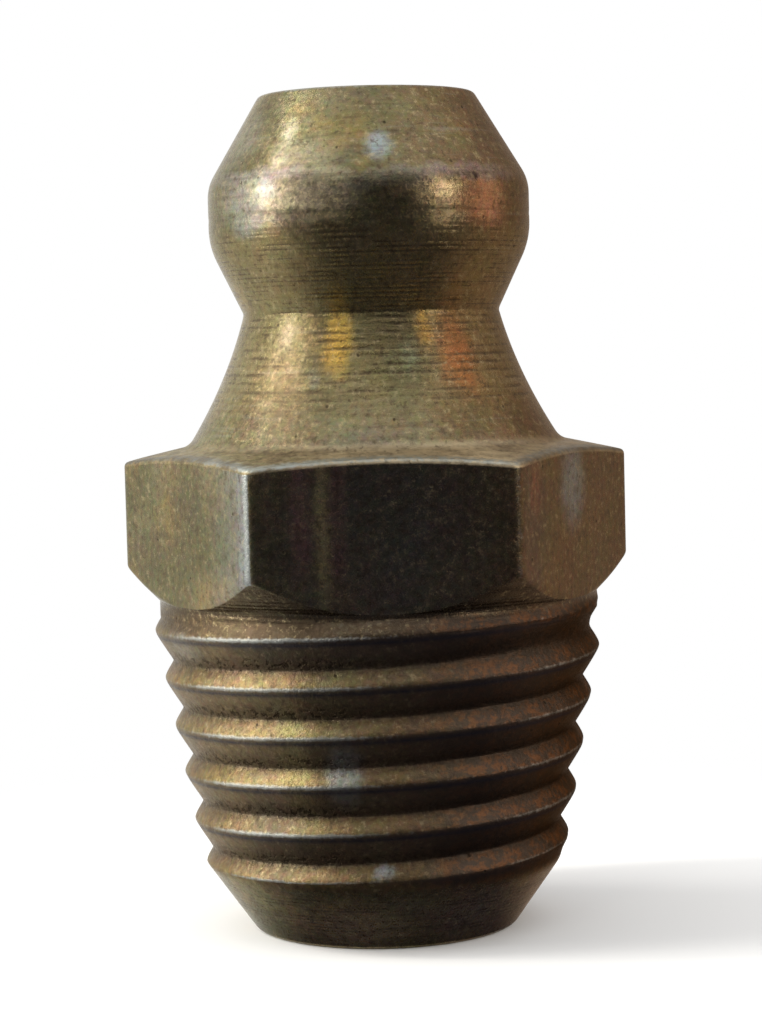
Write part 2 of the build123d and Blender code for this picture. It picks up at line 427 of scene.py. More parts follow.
def springSkin():
    # a circle of wire carried along a helix whose height climbs slowly in the closed turn at each end;
    # at both ends the circle closes on its middle
    low, high = [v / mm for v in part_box("check_spring")]
    wire = valve["wireRadius"]
    first = low.z + wire
    last = high.z - wire
    closed = 2 * wire + valve["coilGap"]
    turns = valve["openTurns"] + 2
    turn = np.linspace(0, turns, turns * valve["turnSteps"] + 1)
    knots = [0, 1, turns - 1, turns]
    climb = np.interp(turn, knots, [first, first + closed, last - closed, last])
    # the climb is the mean over about half a turn, an odd number of steps
    easeSteps = valve["turnSteps"] // 4 * 2 + 1
    padded = np.pad(climb, easeSteps // 2, mode="reflect", reflect_type="odd")
    climb = np.convolve(padded, np.ones(easeSteps) / easeSteps, mode="valid")
    turn = np.concatenate([turn[:1], turn, turn[-1:]])
    climb = np.concatenate([climb[:1], climb, climb[-1:]])
    section = np.full(turn.shape, wire)
    section[[0, -1]] = 0
    way = 2 * pi * turn[:, None]
    around = np.linspace(0, 2 * pi, valve["wireSides"] + 1)[None, :]
    radius = valve["springRadius"] + section[:, None] * np.cos(around)
    height = climb[:, None] + section[:, None] * np.sin(around)
    return radius * np.cos(way), radius * np.sin(way), height + 0 * way


checkBall = skinGrids("checkBall", ballSkin(), {})
checkSpring = skinGrids("checkSpring", [springSkin()], {})


# finishes

class Finish:
    # the nodes of a material, or of the white surround, as they are put together
    def __init__(self, owner):
        self.owner = owner
        owner.use_nodes = True
        self.tree = owner.node_tree
        self.tree.nodes.clear()

    def add(self, kind, settings=None, **inputs):
        # a new node; inputs go by the names of its sockets, with _ for a space
        node = self.tree.nodes.new(kind)
        for setting, value in (settings or {}).items():
            setattr(node, setting, value)
        for socket, value in inputs.items():
            self.feed(node.inputs[socket.replace("_", " ")], value)
        return node

    def feed(self, socket, value):
        # link another node's output to the socket, or set a plain value on it
        if isinstance(value, bpy.types.NodeSocket):
            self.tree.links.new(value, socket)
        else:
            socket.default_value = value

    def inOrder(self, kind, operation, values):
        # a node of arithmetic, its inputs filled from the first on
        node = self.add(kind, {"operation": operation})
        for socket, value in zip(node.inputs, values):
            self.feed(socket, value)
        return node.outputs[0]

    def calc(self, operation, *values):
        return self.inOrder("ShaderNodeMath", operation, values)

    def vector(self, operation, *values):
        return self.inOrder("ShaderNodeVectorMath", operation, values)

    def times(self, value, *others):
        # all of them multiplied together
        for other in others:
            value = self.calc("MULTIPLY", value, other)
        return value

    def most(self, value, *others):
        # the largest of them
        for other in others:
            value = self.calc("MAXIMUM", value, other)
        return value

    def noise(self, where, scale, detail, rough, output="Fac"):
        node = self.add("ShaderNodeTexNoise", Vector=where, Scale=scale, Detail=detail, Roughness=rough)
        return node.outputs[output]

    def level(self, value, low, high, toLow=0.0, toHigh=1.0):
        # smooth rise from toLow where the value is low to toHigh where it is high
        node = self.add("ShaderNodeMapRange", {"interpolation_type": "SMOOTHSTEP"}, Value=value)
        for socket, number in zip(("From Min", "From Max", "To Min", "To Max"), (low, high, toLow, toHigh)):
            node.inputs[socket].default_value = number
        return node.outputs[0]

    def blend(self, share, under, over, kind="MIX"):
        # a share of one colour laid over another
        node = self.add("ShaderNodeMix", {"data_type": "RGBA", "blend_type": kind})
        self.feed(node.inputs[0], share)
        self.feed(node.inputs[6], under)
        self.feed(node.inputs[7], over)
        return node.outputs[2]

    def mark(self, name):
        # one of the values that the skin carries
        return self.add("ShaderNodeAttribute", {"attribute_name": name}).outputs["Fac"]

    def millimetres(self):
        # Object coordinates in millimetres
        place = self.add("ShaderNodeTexCoord").outputs["Object"]
        return self.add("ShaderNodeMapping", Vector=place, Scale=(1 / mm, 1 / mm, 1 / mm)).outputs["Vector"]

    def close(self, shader, output="ShaderNodeOutputMaterial"):
        self.feed(self.add(output).inputs[0], shader)
        return self.owner


zinc = {
    # film, stains and bare metal, and tones for painted shade, painted light and painted glints
    "khaki": (0.250, 0.214, 0.114, 1),
    "olive": (0.165, 0.145, 0.073, 1),
    "gold": (0.330, 0.235, 0.095, 1),
    "bronze": (0.195, 0.113, 0.056, 1),
    "umber": (0.085, 0.060, 0.038, 1),
    "bare": (0.420, 0.440, 0.415, 1),
    # dark slate for the painted shade line under each crest
    "crestShadeSlate": (0.050, 0.050, 0.064, 1),
    "sand": (0.370, 0.280, 0.118, 1),
    "rust": (0.168, 0.080, 0.042, 1),
    "paintedSlopeLight": (0.630, 0.510, 0.325, 1),
    "shadeBrown": (0.135, 0.108, 0.088, 1),
    # near black, for the painted shade on the thread's right
    "paintedShadeDark": (0.075, 0.057, 0.046, 1),
    "edgeBlue": (0.330, 0.360, 0.340, 1),
    "edgeDull": (0.130, 0.125, 0.110, 1),
    "grimeAndShade": (0.040, 0.030, 0.020, 1),
    "glintGold": (0.560, 0.450, 0.250, 1),
    "rim": (0.850, 0.820, 0.760, 1),        # what a face seen edge-on keeps of its shine
    "threadRimShade": (0.400, 0.350, 0.300, 1),
    # relief and sheen
    "lineDepth": 0.0045,     # mm
    "grainDepth": 0.0065,
    "threadGrain": 0.0112,
    "toolStep": 0.115,       # mm between the marks of the turning tool
    "metallic": 0.97,
    "sheenStretch": 0.35,
    "sheenTurn": 0.25,       # of a turn, on everything but the flats
    "threadRougher": 0.14,
    "slopeRougher": 0.22,
    "speckRougher": 0.25,
    # shares of single coats
    "threadBronze": 0.55,
    "neckSand": 0.28,
    "pitGrime": 0.75,
    "hueDrift": 0.18,
    "hueSparkle": 0.40,
    "rustPatchSand": 0.9,       # how far the sand pattern breaks up the rust, and the bare metal
    "wornSand": 1.3,
    "bareMost": 0.80,
    "bareLessOnThread": -0.12,
    "mottleOnSlope": -0.6,
    # patterns: scale a mm, detail, roughness, and for some the stretch and shift along x, y and z
    "patterns": {
        "drawn": (1.0, 3.0, 0.60, (14.0, 14.0, 0.35), (0, 0, 0)),
        "sand": (9.0, 5.0, 0.70),
        "grain": (14.0, 4.0, 0.70),
        "mottle": (3.4, 4.0, 0.65, (1, 1, 1.6), (0, 0, 0)),
        "pepper": (7.5, 4.0, 0.75),
        "pits": (8.0, 3.0, 0.60),
        "patch": (0.55, 3.0, 0.55),
        "goldPatch": (0.9, 3.0, 0.60, (1, 1, 1), (7.3, 2.1, 4.4)),
    },
    # patterns drawn out round the axis: changes round it, changes a mm of outline, detail, roughness
    "rings": {
        "turned": (1.6, 14.0, 3.0, 0.65),
        "streak": (3.0, 4.5, 3.0, 0.60),
    },
    "outlineSlope": 0.7,     # mm of outline for each mm of radius
    "speckCells": 3.2,       # a mm; one in five holds a dark speck
    "driftNoise": (1.3, 2.0, 0.5),
    "sparkleNoise": (7.0, 3.0, 0.7),
    # heights: where a zone starts, where it is full, how far up it is full, where it ends
    "zones": {
        "nose": (-0.20, -0.10, 1.00, 1.30),
        "thread": (1.20, 1.50, 6.55, 6.85),
        "under": (6.15, 6.40, 7.60, 7.80),
        "slope": (9.30, 9.50, 9.85, 10.05),
        "topEdge": (9.35, 9.60, 9.85, 10.05),
        "neck": (10.20, 11.00, 13.90, 14.30),
    },
    # smooth rises: the values where each starts and ends, and what it gives there if not 0 and 1
    "rises": {
        "drawnLines": (0.0, 1.0, 0.30, 0.70),
        "toolGaps": (0.40, 0.62),
        "toolFade": (0.40, 0.60, 0.30, 1.0),
        "speckChosen": (0.80, 0.82),
        "speckSize": (0.05, 0.14, 1.0, 0.0),
        "khakiPatches": (0.36, 0.64),
        "goldPatches": (0.48, 0.76, 0.0, 0.70),
        "bronzeRight": (-0.10, 0.85, 0.0, 0.80),
        "paintedLightLeft": (0.05, -0.50, 0.0, 0.28),
        "sandOffRoots": (0.55, 0.15),
        "cornerHighlightWide": (-0.78, -0.54, 0.0, 0.30),
        "cornerHighlightNear": (-0.57, -0.52, 0.0, 0.60),
        "cornerHighlightEnd": (-0.497, -0.503),
        "streaksOff": (0.0, 1.0, 1.0, 0.25),
        "streaks": (0.54, 0.74, 0.0, 0.18),
        "darkLines": (0.50, 0.34, 0.0, 0.32),
        "darkMottle": (0.50, 0.34, 0.0, 0.35),
        "paleLines": (0.56, 0.74, 0.0, 0.15),
        "slopeLightLeft": (-0.55, -0.10, 0.10, 0.92),
        "slopeLightRight": (0.45, 0.60, 1.0, 0.35),
        "slopeStain": (0.56, 0.40, 0.0, 0.35),
        "underRight": (0.50, 0.90),
        "underLines": (0.60, 0.40, 0.60, 0.95),
        "toolLines": (-0.05, -0.60, 0.0, 0.72),
        "darkPepper": (0.46, 0.35, 0.0, 0.60),
        "pepperGlints": (0.54, 0.68, 0.0, 0.42),
        "shadeLower": (0.20, 0.80, 0.0, 0.35),
        "shadeRightOnThread": (-0.12, 0.45, 0.0, 0.92),
        "rustPatches": (0.41, 0.67),
        "rustLower": (0.0, 1.0, 1.0, 0.35),
        "pits": (0.50, 0.61),
        "pitsInRoots": (0.36, 0.76),
        "pitsLeft": (0.20, -0.40, 0.25, 1.0),
        "grimeInRoots": (0.30, 1.0, 0.0, 0.55),
        "grimeGrain": (0.35, 0.65, 0.30, 1.0),
        "rootShadeRight": (-0.10, 0.40, 1.0, 1.45),
        "crestShadeLine": (0.35, 0.60, 0.60, 0.95),
        "highlightLeft": (0.15, -0.35, 0.30, 1.0),
        "highlightFarLeft": (-0.96, -0.75, 0.40, 1.0),
        "highlightRight": (0.45, 0.70, 0.0, 0.62),
        "wornOffThread": (0.0, 1.0, 0.65, 0.0),
        "shadeRightFlat": (0.40, 0.50, 1.0, 0.55),
        "frontFlatEdge": (-0.503, -0.493),
        "frontFlatLeft": (-0.10, -0.30),
        "shadeFrontFlat": (0.0, 1.0, 1.0, 0.30),
        "wornSlope": (-0.20, 0.05, 0.50, 1.0),
        "bareMetal": (0.25, 0.90),
        "topEdgeRub": (0.40, 0.90, 0.0, 0.75),
        "topEdgeSand": (0.36, 0.56, 0.25, 1.0),
        "blueLeft": (-0.62, -0.50),
        "blueRight": (0.52, 0.44),
        "roughness": (0.25, 0.75, 0.15, 0.34),
        "rimShadeRight": (-1.30, 0.20),
    },
    "markCore": 0.8,         # share of the way in at which a mark has its full strength
    "markNoise": (2.4, 5.0, 0.75),
    "markRagged": (0.4, 0.4, 0.5),
    # marks: degrees right of the front, height, half width and half height in mm, colour, strength
    "marks": [
        ("coneScuff", 2.3, 15.70, 0.38, 0.46, (0.390, 0.420, 0.420, 1), 0.90),
        # painted highlight down the cone's left
        ("coneHighlight", -35.5, 15.98, 0.26, 1.05, (0.600, 0.530, 0.350, 1), 0.70),
        # painted highlight low on the cone's left
        ("coneHighlightLow", -36.5, 15.46, 0.30, 0.26, (0.620, 0.560, 0.400, 1), 0.60),
        # painted highlight on the neck's left
        ("neckHighlight", -39.0, 12.10, 0.30, 0.50, (0.600, 0.480, 0.340, 1), 0.60),
        ("neckBlue", -24.0, 11.20, 0.22, 0.40, (0.220, 0.250, 0.230, 1), 0.55),
        # orange film on the band, brightened as a painted highlight
        ("bandFlame", 42.0, 14.62, 1.00, 0.74, (0.620, 0.300, 0.165, 1), 0.70),
        # painted light on the cone's far left
        ("coneLightLeft", -64.0, 15.95, 0.80, 0.90, (0.400, 0.370, 0.260, 1), 0.50),
        # painted light on the cone's left front
        ("coneLightFront", -26.0, 15.50, 1.20, 0.62, (0.420, 0.380, 0.250, 1), 0.55),
        ("neckWarm", 56.0, 11.60, 0.80, 1.80, (0.260, 0.180, 0.090, 1), 0.50),
        # painted highlight on the band's right
        ("bandHighlightRight", 19.5, 14.82, 1.00, 0.38, (0.740, 0.550, 0.290, 1), 0.75),
        # painted reflection of a lamp on the band, left of the front
        ("bandReflection", -21.0, 14.74, 1.40, 0.66, (0.880, 0.740, 0.460, 1), 0.90),
        ("bandScuff", -50.0, 14.22, 0.65, 0.38, (0.330, 0.340, 0.330, 1), 0.60),
        ("jawLine", -38.0, 14.42, 2.60, 0.14, (0.080, 0.050, 0.032, 1), 0.50),
        # painted highlight just under the jaws' groove
        ("jawHighlight", -38.0, 14.28, 2.00, 0.20, (0.360, 0.310, 0.220, 1), 0.45),
        ("edgeBloomLeft", -45.0, 15.18, 2.40, 0.22, (0.330, 0.290, 0.270, 1), 0.60),
        ("edgeBloomRight", 35.0, 15.16, 2.60, 0.24, (0.330, 0.265, 0.230, 1), 0.65),
        # painted highlight on the band's left
        ("bandHighlight", -39.7, 14.92, 0.36, 0.30, (0.520, 0.500, 0.450, 1), 0.75),
        ("bandStain", -31.0, 14.20, 0.60, 0.30, (0.150, 0.080, 0.045, 1), 0.55),
        ("conePit", 38.2, 15.13, 0.20, 0.16, (0.030, 0.022, 0.018, 1), 0.90),
        ("neckFlame", 33.0, 11.60, 0.66, 1.90, (0.480, 0.140, 0.048, 1), 0.90),
        # gold film streak on the neck, brightened as a painted highlight
        ("neckGoldHighlight", -15.8, 11.95, 0.42, 1.35, (0.960, 0.580, 0.100, 1), 0.92),
        ("footGold", 5.0, 10.25, 3.00, 0.70, (0.340, 0.280, 0.145, 1), 0.80),
        ("neckPink", -38.0, 11.00, 0.90, 1.50, (0.330, 0.215, 0.150, 1), 0.50),
        ("neckGreen", 7.0, 11.40, 0.80, 1.00, (0.115, 0.145, 0.075, 1), 0.65),
        # amber film streak on the neck, brightened as a painted highlight
        ("neckAmberHighlight", 19.7, 12.15, 0.27, 0.80, (0.680, 0.340, 0.065, 1), 0.85),
        ("neckMint", 12.5, 11.72, 0.26, 0.80, (0.300, 0.380, 0.230, 1), 0.60),
        # painted shade over the front flat
        ("flatFrontShade", -2.0, 8.30, 3.70, 3.60, (0.112, 0.104, 0.098, 1), 0.70),
        ("flatStripe", -14.5, 8.50, 0.26, 2.40, (0.460, 0.390, 0.200, 1), 0.90),
        ("flatStripeTwo", -19.5, 8.80, 0.34, 2.20, (0.290, 0.180, 0.150, 1), 0.80),
        ("flatStripeThree", -11.0, 8.80, 0.24, 2.20, (0.260, 0.160, 0.130, 1), 0.70),
        ("flatShade", 36.0, 8.60, 0.70, 2.40, (0.150, 0.095, 0.075, 1), 0.60),
        ("flatFlame", 37.0, 9.10, 0.40, 0.80, (0.330, 0.150, 0.090, 1), 0.55),
        ("flatScuff", 58.0, 9.05, 0.80, 1.20, (0.320, 0.335, 0.340, 1), 0.75),
        # painted highlights on the thread's left upper flanks
        ("threadHighlight", -27.0, 3.90, 0.50, 2.60, (0.480, 0.440, 0.180, 1), 0.38),
        ("threadScuff", -12.5, 3.75, 0.52, 1.05, (0.370, 0.400, 0.380, 1), 0.70),
        ("crestScuff", -2.0, 1.74, 0.30, 0.24, (0.400, 0.430, 0.460, 1), 0.80),
        # painted highlights low on the nose
        ("noseHighlight", -25.0, 0.60, 0.20, 0.30, (0.620, 0.450, 0.140, 1), 0.90),
        ("noseHighlightTwo", -20.5, 0.95, 0.20, 0.22, (0.560, 0.400, 0.120, 1), 0.90),
        # painted light on the band's left
        ("bandLightLeft", -50.0, 14.72, 1.30, 0.60, (0.440, 0.420, 0.350, 1), 0.65),
        # painted light along the band's top at the front
        ("bandTopLight", -4.0, 15.00, 1.80, 0.26, (0.330, 0.290, 0.200, 1), 0.70),
        ("footShade", -37.0, 10.55, 1.60, 1.10, (0.150, 0.115, 0.065, 1), 0.80),
        ("underShade", -28.0, 13.20, 1.00, 0.60, (0.110, 0.080, 0.045, 1), 0.65),
        ("noseWarm", -16.0, 0.60, 1.70, 0.85, (0.480, 0.360, 0.200, 1), 0.85),
        ("noseWarmTwo", 36.0, 0.70, 1.90, 0.85, (0.300, 0.225, 0.160, 1), 0.75),
        ("collarShade", -30.0, 6.25, 1.40, 0.66, (0.095, 0.074, 0.048, 1), 0.92),
        ("threadShade", -37.0, 2.20, 1.25, 1.70, (0.120, 0.092, 0.057, 1), 0.80),
        ("crestPale", -62.0, 6.05, 0.90, 0.50, (0.420, 0.420, 0.380, 1), 0.50),
        ("footWarm", 27.0, 10.48, 1.00, 0.90, (0.180, 0.120, 0.055, 1), 0.75),
        ("neckShade", 9.0, 12.20, 0.85, 0.62, (0.095, 0.080, 0.046, 1), 0.66),
    ],
}


def markCentre(angle, height):
    # a point on the outside: its radius from straight runs up the outline, on a flat from the hexagon's own
    n = nipple
    outline = [(0, n["noseRadius"]), n["noseEnd"], (n["hexBottom"], n["hexHalf"]),
               (n["hexTop"] - n["edgeDrop"], n["hexHalf"]), (n["hexTop"], n["footRadius"]), n["neckMiddle"],
               (n["waistHeight"], n["waistRadius"]), (n["underEnd"], n["headRadius"]),
               (n["bandTop"], n["headRadius"]), (headTop, n["headTopRadius"])]
    reach = float(np.interp(height, *zip(*outline)))
    if n["hexBottom"] < height < n["hexTop"] - n["slopeDrop"]:
        reach = float(hexRadius(radians(angle) - pi / 2))
    return reach * sin(radians(angle)), -reach * cos(radians(angle)), height


def agedZinc():
    # yellow-passivated zinc that has browned: khaki film in patches, turning lines round the axis,
    # drawn lines up the bar faces, rubbed bluish zinc on crests and edges, brown grime in the roots;
    # painted highlights and painted shade lighten the left and darken the right, the lower flanks and under
    # the hexagon
    f = Finish(bpy.data.materials.new("agedZinc"))
    point = f.millimetres()
    x, y, z = f.add("ShaderNodeSeparateXYZ", Vector=point).outputs
    radius = f.calc("SQRT", f.calc("ADD", f.times(x, x), f.times(y, y)))
    side = f.calc("DIVIDE", x, radius)       # -1 at the left, 1 at the right
    front = f.calc("DIVIDE", y, radius)
    along = f.calc("MULTIPLY_ADD", radius, zinc["outlineSlope"], z)

    def rise(value, name):
        return f.level(value, *zinc["rises"][name])

    def zone(name):
        # 1 between two heights, fading away below and above
        start, full, fullTo, end = zinc["zones"][name]
        return f.times(f.level(z, start, full), f.level(z, end, fullTo))

    def pattern(name):
        scale, detail, rough, *moved = zinc["patterns"][name]
        stretch, shift = moved or ((1, 1, 1), (0, 0, 0))
        where = f.add("ShaderNodeMapping", Vector=point, Scale=stretch, Location=shift)
        return f.noise(where.outputs[0], scale, detail, rough)

    def ring(name):
        # noise on the point's direction from the axis and its way up the outline
        turn, rate, detail, rough = zinc["rings"][name]
        where = f.add("ShaderNodeCombineXYZ", X=f.times(side, turn), Y=f.times(front, turn),
                      Z=f.times(along, rate))
        return f.noise(where.outputs[0], 1.0, detail, rough)

    def cover(film, colour, share):
        return f.blend(share, film, zinc[colour])

    # where on the nipple
    face = f.mark("barFace")
    deep = f.mark("deep")
    lower = f.mark("lower")
    rubbed = f.mark("rubbed")
    offFace = f.calc("SUBTRACT", 1.0, face)
    onThread = zone("thread")
    onNeck = zone("neck")
    onSlope = f.times(offFace, zone("slope"))
    onUnder = f.times(offFace, zone("under"))

    # patterns
    sand = pattern("sand")
    grain = pattern("grain")
    mottle = pattern("mottle")
    pepper = pattern("pepper")
    streak = ring("streak")
    unevenSand = f.calc("SUBTRACT", sand, 0.5)
    line = f.blend(face, ring("turned"), rise(pattern("drawn"), "drawnLines"))
    line = f.blend(onThread, line, sand)
    tool = f.calc("SINE", f.times(along, 2 * pi / zinc["toolStep"]))
    broken = f.times(rise(streak, "toolGaps"), rise(grain, "toolFade"))
    tool = f.times(tool, broken, f.most(onNeck, onUnder, zone("nose")))
    cells = f.add("ShaderNodeTexVoronoi", Vector=point, Scale=zinc["speckCells"])
    chosen = f.add("ShaderNodeSeparateColor", Color=cells.outputs["Color"]).outputs[0]
    speck = f.times(rise(cells.outputs["Distance"], "speckSize"), rise(chosen, "speckChosen"))

    # film
    film = f.blend(rise(pattern("patch"), "khakiPatches"), zinc["olive"], zinc["khaki"])
    film = cover(film, "gold", rise(pattern("goldPatch"), "goldPatches"))
    film = cover(film, "bronze", rise(side, "bronzeRight"))
    film = cover(film, "bronze", f.times(onThread, zinc["threadBronze"]))
    # painted light: sand tone on the thread's left upper flanks
    film = cover(film, "sand", f.times(rise(side, "paintedLightLeft"), rise(deep, "sandOffRoots"), onThread))
    # painted highlight: the left flat brightens to bare metal towards its front corner
    cornerHighlight = f.calc("ADD", rise(side, "cornerHighlightWide"), rise(side, "cornerHighlightNear"))
    film = cover(film, "bare", f.times(cornerHighlight, rise(side, "cornerHighlightEnd"), face))

    # marks that have their own places, with ragged outlines: stains and scuffs, and painted highlights and
    # painted shade
    ragged = zinc["markRagged"]
    wobble = f.noise(point, *zinc["markNoise"], "Color")
    loose = f.vector("SUBTRACT", point, [reach / 2 for reach in ragged])
    loose = f.vector("MULTIPLY_ADD", wobble, ragged, loose)
    for name, angle, height, wide, tall, colour, strength in zinc["marks"]:
        place = f.add("ShaderNodeMapping", {"vector_type": "TEXTURE", "label": name}, Vector=loose,
                      Location=markCentre(angle, height), Scale=(wide, wide, tall))
        ball = f.add("ShaderNodeTexGradient", {"gradient_type": "SPHERICAL"}, Vector=place.outputs[0])
        share = f.level(ball.outputs["Fac"], 0.0, zinc["markCore"], 0.0, strength)
        film = f.blend(share, film, colour)

    # the film's hue drifts from place to place and from grain to grain
    film = f.blend(zinc["hueDrift"], film, f.noise(point, *zinc["driftNoise"], "Color"), "SOFT_LIGHT")
    film = f.blend(zinc["hueSparkle"], film, f.noise(point, *zinc["sparkleNoise"], "Color"), "SOFT_LIGHT")

    # lines, mottling, painted light and painted shade lie over film and marks
    film = cover(film, "umber", f.times(rise(streak, "streaks"), rise(f.most(face, onThread), "streaksOff")))
    film = cover(film, "umber", rise(line, "darkLines"))
    film = cover(film, "umber", rise(mottle, "darkMottle"))
    film = cover(film, "bare", rise(line, "paleLines"))
    film = cover(film, "sand", f.times(onNeck, zinc["neckSand"]))
    # painted light: the up-facing slope above the flats is paler, most on the left
    film = cover(film, "paintedSlopeLight", f.times(onSlope, f.times(rise(side, "slopeLightLeft"), rise(side, "slopeLightRight"))))
    film = cover(film, "umber", f.times(onSlope, rise(mottle, "slopeStain")))
    # painted shade under the hexagon, darker along the turning lines
    underTone = f.blend(rise(side, "underRight"), zinc["umber"], zinc["shadeBrown"])
    film = f.blend(f.times(onUnder, rise(line, "underLines")), film, underTone)
    film = cover(film, "umber", rise(tool, "toolLines"))
    film = cover(film, "umber", rise(pepper, "darkPepper"))
    # painted glints: pale gold specks
    film = cover(film, "glintGold", rise(pepper, "pepperGlints"))
    # painted shade on the lower flanks, which face down
    film = cover(film, "shadeBrown", rise(lower, "shadeLower"))
    # on the thread's right, painted shade in a near-black tone, broken by rust patches that keep off the
    # lower flanks
    rustPatch = rise(f.calc("MULTIPLY_ADD", unevenSand, zinc["rustPatchSand"], mottle), "rustPatches")
    rustPatch = f.times(rustPatch, rise(lower, "rustLower"))
    rustOverShade = f.blend(rustPatch, zinc["paintedShadeDark"], zinc["rust"])
    film = f.blend(f.times(rise(side, "shadeRightOnThread"), onThread), film, rustOverShade)

    # grime in pits and roots, deepened towards the right as painted shade, and the painted shade line under
    # each crest
    pitted = f.times(rise(pattern("pits"), "pits"), rise(deep, "pitsInRoots"), rise(side, "pitsLeft"), lower)
    rootGrimeAndShade = f.times(rise(deep, "grimeInRoots"), rise(grain, "grimeGrain"), rise(side, "rootShadeRight"))
    film = cover(film, "grimeAndShade", rootGrimeAndShade)
    film = cover(film, "grimeAndShade", f.times(f.most(speck, pitted), zinc["pitGrime"]))
    film = cover(film, "crestShadeSlate", f.times(f.mark("crestShade"), rise(sand, "crestShadeLine")))

    # bare metal where the edges are rubbed; its share by side is painted light: a highlight strongest on the
    # left, held back as painted shade on the right flat and the front flat's left edge
    wearAndHighlight = f.times(rise(side, "highlightLeft"), rise(side, "highlightFarLeft"))
    wearAndHighlight = f.most(wearAndHighlight, rise(side, "highlightRight"), rise(onThread, "wornOffThread"))
    frontFlat = f.times(rise(side, "frontFlatEdge"), rise(side, "frontFlatLeft"))
    wearAndHighlight = f.times(rubbed, wearAndHighlight, rise(f.times(face, side), "shadeRightFlat"),
                   rise(f.times(face, frontFlat), "shadeFrontFlat"),
                   rise(f.calc("MULTIPLY_ADD", onSlope, zinc["mottleOnSlope"], mottle), "wornSlope"))
    wearAndHighlight = f.calc("ADD", wearAndHighlight, f.times(unevenSand, zinc["wornSand"]))
    bareShare = f.calc("MULTIPLY_ADD", onThread, zinc["bareLessOnThread"], zinc["bareMost"])
    film = cover(film, "bare", f.times(rise(wearAndHighlight, "bareMetal"), bareShare))
    blue = f.times(rise(side, "blueLeft"), rise(side, "blueRight"))
    edgeTone = f.blend(blue, zinc["edgeDull"], zinc["edgeBlue"])
    edgeShare = f.times(rise(rubbed, "topEdgeRub"), zone("topEdge"), rise(sand, "topEdgeSand"))
    film = f.blend(edgeShare, film, edgeTone)

    # gloss and relief
    rough = rise(grain, "roughness")
    for where, more in ((onThread, "threadRougher"), (onSlope, "slopeRougher"), (speck, "speckRougher")):
        rough = f.calc("MULTIPLY_ADD", where, zinc[more], rough)
    coarse = f.times(f.calc("SUBTRACT", sand, pitted), onThread)
    relief = f.add("ShaderNodeBump", Height=f.calc("ADD", line, tool), Distance=zinc["lineDepth"] * mm)
    relief = f.add("ShaderNodeBump", Height=coarse, Distance=zinc["threadGrain"] * mm,
                   Normal=relief.outputs[0])
    relief = f.add("ShaderNodeBump", Height=f.calc("SUBTRACT", grain, speck),
                   Distance=zinc["grainDepth"] * mm, Normal=relief.outputs[0])
    swirl = f.add("ShaderNodeTangent", {"direction_type": "RADIAL", "axis": "Z"}).outputs[0]
    # painted shade: on the thread the edge-on shine dims towards the right
    rim = f.blend(f.times(onThread, rise(side, "rimShadeRight")), zinc["rim"], zinc["threadRimShade"])
    metal = f.add("ShaderNodeBsdfPrincipled", Base_Color=film, Specular_Tint=rim, Metallic=zinc["metallic"],
                  Roughness=rough, Normal=relief.outputs[0], Tangent=swirl, Anisotropic=zinc["sheenStretch"],
                  Anisotropic_Rotation=f.times(offFace, zinc["sheenTurn"]))
    return f.close(metal.outputs[0])


steel = {
    # noise: scale a mm, detail, roughness
    "ballCloud": (1.6, 3.0, 0.6),
    "ballHair": (1.0, 2.0, 0.6),
    "hairStretch": (3.0, 26.0, 9.0),
    "hairShare": 0.4,
    "hairDepth": 0.0006,     # mm
    "ballDull": (0.50, 0.49, 0.47, 1),
    "ballBright": (0.66, 0.66, 0.65, 1),
    "ballRough": (0.4, 1.0, 0.10, 0.26),     # pattern's low and high, roughness there and there
    "wireCloud": (2.2, 3.0, 0.6),
    "wireGrain": (22.0, 2.0, 0.6),
    "wireDepth": 0.0015,     # mm
    "wireOiled": (0.20, 0.17, 0.13, 1),
    "wireGrey": (0.36, 0.35, 0.33, 1),
    "wireRough": (0.25, 0.75, 0.28, 0.46),
    "cloudEdge": (0.35, 0.70),
}


def plainSteel(f, cloud, dull, bright, relief, depth, rough):
    # two greys in clouds, with a fine relief
    tint = f.blend(f.level(cloud, *steel["cloudEdge"]), dull, bright)
    bump = f.add("ShaderNodeBump", Height=relief, Distance=depth * mm)
    metal = f.add("ShaderNodeBsdfPrincipled", Base_Color=tint, Metallic=1.0, Roughness=rough,
                  Normal=bump.outputs[0])
    return f.close(metal.outputs[0])


def bearingSteel():
    # ground and polished ball: clean grey steel with faint cloudy grease and hair scratches
    f = Finish(bpy.data.materials.new("bearingSteel"))
    point = f.millimetres()
    cloud = f.noise(point, *steel["ballCloud"])
    hair = f.noise(f.vector("MULTIPLY", point, steel["hairStretch"]), *steel["ballHair"])
    rough = f.level(f.calc("MULTIPLY_ADD", hair, steel["hairShare"], cloud), *steel["ballRough"])
    return plainSteel(f, cloud, steel["ballDull"], steel["ballBright"], hair, steel["hairDepth"], rough)


def springWire():
    # drawn spring wire: dark grey with a brown oil film
    f = Finish(bpy.data.materials.new("springWire"))
    point = f.millimetres()
    cloud = f.noise(point, *steel["wireCloud"])
    grain = f.noise(point, *steel["wireGrain"])
    rough = f.level(grain, *steel["wireRough"])
    return plainSteel(f, cloud, steel["wireOiled"], steel["wireGrey"], grain, steel["wireDepth"], rough)


nippleBody.data.materials.append(agedZinc())
checkBall.data.materials.append(bearingSteel())
checkSpring.data.materials.append(springWire())
print("finishes made")


# how the pieces move

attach(nippleBody, "nipple")
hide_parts("nipple_body")
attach(checkBall, "ball")
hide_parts("check_ball")
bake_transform(checkSpring)
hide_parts("check_spring")


# studio

